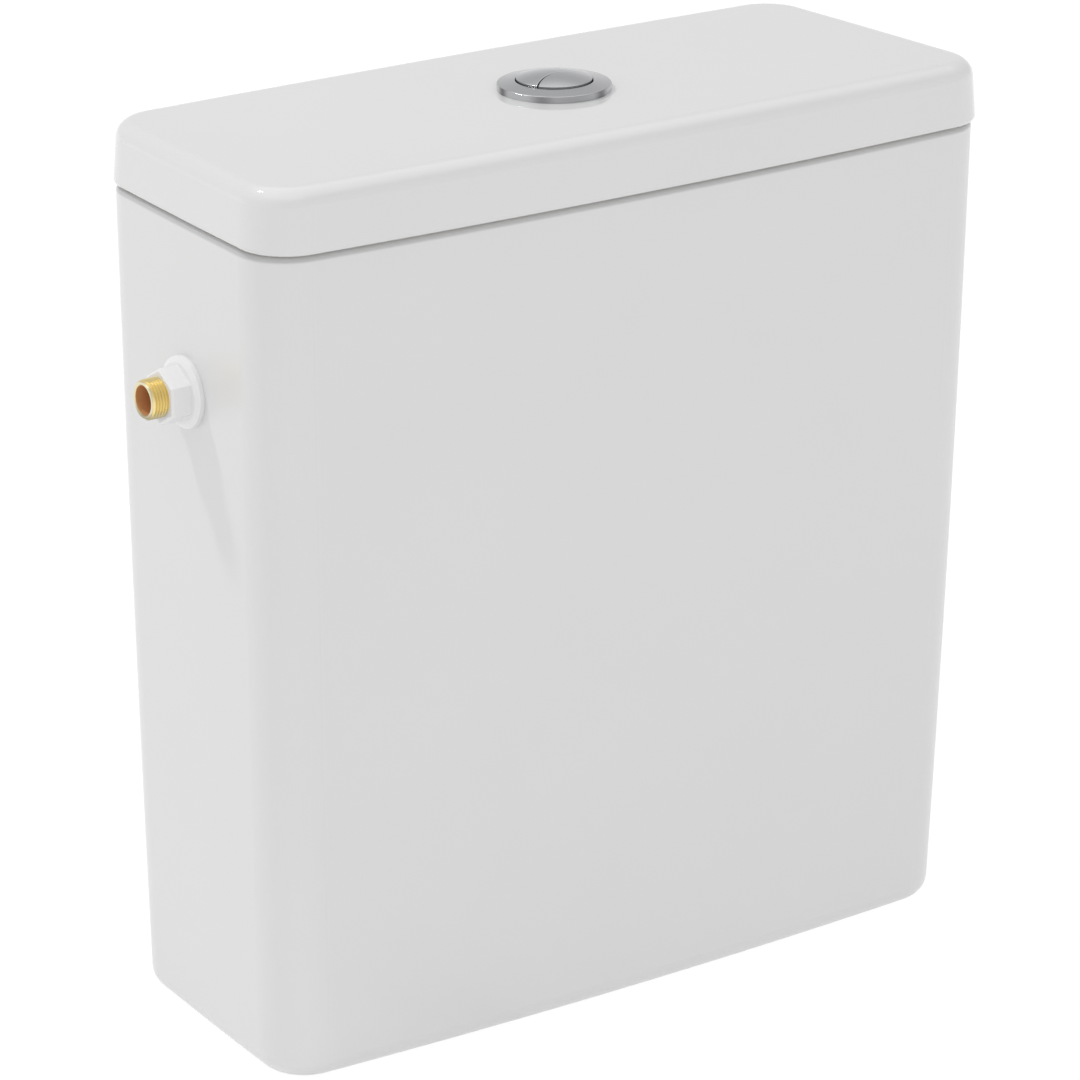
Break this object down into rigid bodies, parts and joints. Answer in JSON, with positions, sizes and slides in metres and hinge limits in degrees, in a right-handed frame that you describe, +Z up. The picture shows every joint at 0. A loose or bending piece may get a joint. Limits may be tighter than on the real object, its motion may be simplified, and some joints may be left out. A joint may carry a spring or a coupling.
{
  "type": "toilet cistern",
  "caption": "Close-coupled ceramic toilet tank with lift-off lid, two-part push button, left side water inlet, flush valve and fill valve.",
  "frame": {"origin": "centre of the flush outlet's mouth, level with the foot that the tank stands on", "axes": "+Z up, -Y towards the user, +Y towards the wall, -X towards the water inlet"},
  "size_m": [0.3796, 0.1484, 0.3936],
  "materials": {
    "glazed_ceramic": "white sanitary glaze, glossy",
    "satin_chrome": "satin chrome plating",
    "white_plastic": "white moulded plastic, semi gloss",
    "pale_grey_plastic": "pale grey moulded plastic",
    "blue_plastic": "blue moulded plastic",
    "brass": "machined brass",
    "black_rubber": "black rubber",
    "stainless_steel": "stainless steel"
  },
  "bodies": {
    "cistern": {"tank": "glazed_ceramic", "base_washer": "black_rubber", "valve_base": "pale_grey_plastic", "outlet_back_nut": "white_plastic", "coupling_gasket": "black_rubber", "valve_cage": "pale_grey_plastic", "valve_tower": "pale_grey_plastic", "valve_bridge": "pale_grey_plastic", "lever_pins": "stainless_steel", "inlet_shank": "brass", "inlet_back_nut": "white_plastic", "inlet_washer": "black_rubber", "fill_valve_body": "pale_grey_plastic", "valve_diaphragm": "black_rubber", "fill_valve_cap": "white_plastic", "float_lever_pin": "stainless_steel", "down_tube": "pale_grey_plastic", "float_stop": "white_plastic"},
    "lid": {"lid": "glazed_ceramic", "bezel_ring": "satin_chrome", "bezel_gasket": "black_rubber", "bezel_nut": "white_plastic", "button_guide": "white_plastic", "full_spring": "stainless_steel", "half_spring": "stainless_steel"},
    "full_button": {"full_button": "satin_chrome", "full_push_rod": "brass"},
    "half_button": {"half_button": "satin_chrome", "half_push_rod": "brass"},
    "full_lever": {"full_lever": "blue_plastic"},
    "half_lever": {"half_lever": "blue_plastic"},
    "flush_stem": {"overflow_tube": "pale_grey_plastic", "stem_yoke": "blue_plastic", "stem_float": "blue_plastic", "seal_retainer": "blue_plastic", "flush_seal": "black_rubber", "stem_foot": "blue_plastic"},
    "fill_float": {"fill_float": "white_plastic", "float_rod": "brass", "float_link_pin": "stainless_steel"},
    "float_lever": {"float_lever": "blue_plastic", "pilot_seal": "black_rubber"}
  },
  "joints": [
    {"name": "lid_lift", "type": "slide", "parent": "cistern", "child": "lid", "axis": [0, 0, 1], "range_m": [0, 0.12]},
    {"name": "full_press", "type": "slide", "parent": "lid", "child": "full_button", "axis": [0, 0, -1], "range_m": [0, 0.006], "stiffness_N_per_m": 300, "springref_m": -0.004, "deforming": ["full_spring"]},
    {"name": "half_press", "type": "slide", "parent": "lid", "child": "half_button", "axis": [0, 0, -1], "range_m": [0, 0.006], "stiffness_N_per_m": 300, "springref_m": -0.004, "deforming": ["half_spring"]},
    {"name": "full_lever_turn", "type": "hinge", "parent": "cistern", "child": "full_lever", "pos_m": [0.0115, 0.0089, 0.312], "axis": [0, -1, 0], "range_deg": [0, 20.35]},
    {"name": "half_lever_turn", "type": "hinge", "parent": "cistern", "child": "half_lever", "pos_m": [-0.0115, -0.0089, 0.312], "axis": [0, 1, 0], "range_deg": [0, 20.35]},
    {"name": "stem_lift", "type": "slide", "parent": "cistern", "child": "flush_stem", "axis": [0, 0, 1], "range_m": [0, 0.01025]},
    {"name": "float_rise", "type": "slide", "parent": "cistern", "child": "fill_float", "axis": [0, 0, 1], "range_m": [0, 0.016]},
    {"name": "float_lever_turn", "type": "hinge", "parent": "cistern", "child": "float_lever", "pos_m": [-0.12802, 0.0037, 0.3285], "axis": [0, -1, 0], "range_deg": [0, 25.7]}
  ],
  "couplings": [
    {"joint": "full_lever_turn", "follows": "full_press", "rad_per_m": 59.133},
    {"joint": "stem_lift", "follows": "full_press", "ratio": 1.7059},
    {"joint": "half_lever_turn", "follows": "half_press", "rad_per_m": 59.133},
    {"joint": "float_lever_turn", "follows": "float_rise", "rad_per_m": 28.012}
  ]
}
